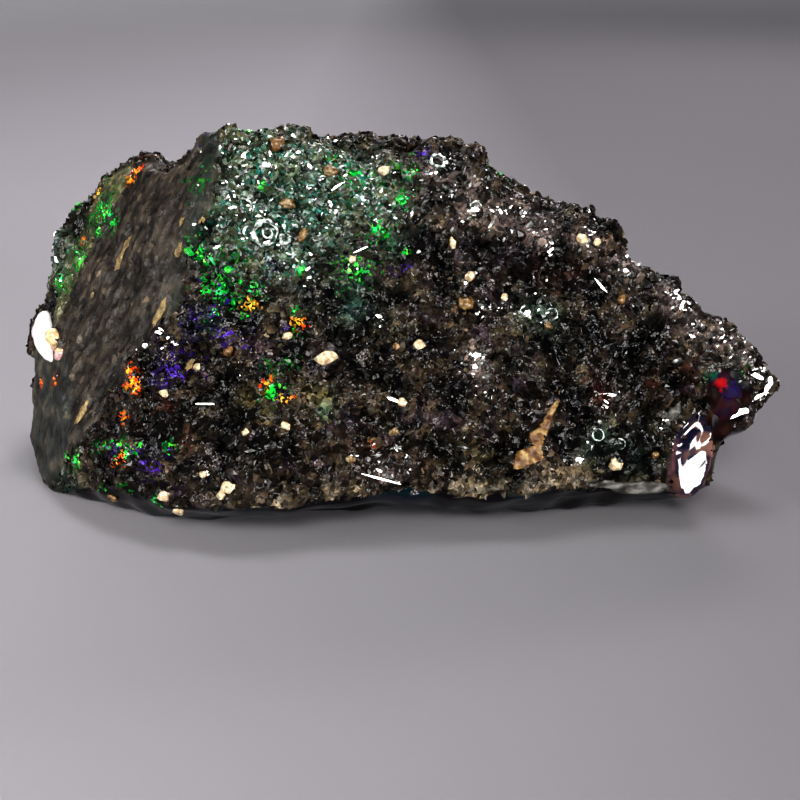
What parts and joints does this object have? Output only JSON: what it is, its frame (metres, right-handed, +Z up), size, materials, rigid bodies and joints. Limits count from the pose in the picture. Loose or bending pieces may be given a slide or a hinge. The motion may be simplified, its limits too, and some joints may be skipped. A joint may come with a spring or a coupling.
{
  "type": "black matrix opal rough",
  "caption": "Rough broken chunk of dark basalt matrix full of opal, with a ridged crest, a pointed end and a smooth glassy underside that it rests on.",
  "frame": {"origin": "on the ground, under the middle of the chunk's bounding box", "axes": "+X along the chunk's length towards its pointed end, +Y from the broad granular face in front to the back, +Z up"},
  "size_m": [0.0438, 0.0216, 0.0202],
  "materials": {
    "opal_matrix": "dark granular stone with a wet, glassy lustre"
  },
  "bodies": {
    "root": {"black_matrix_opal": "opal_matrix"}
  },
  "joints": []
}
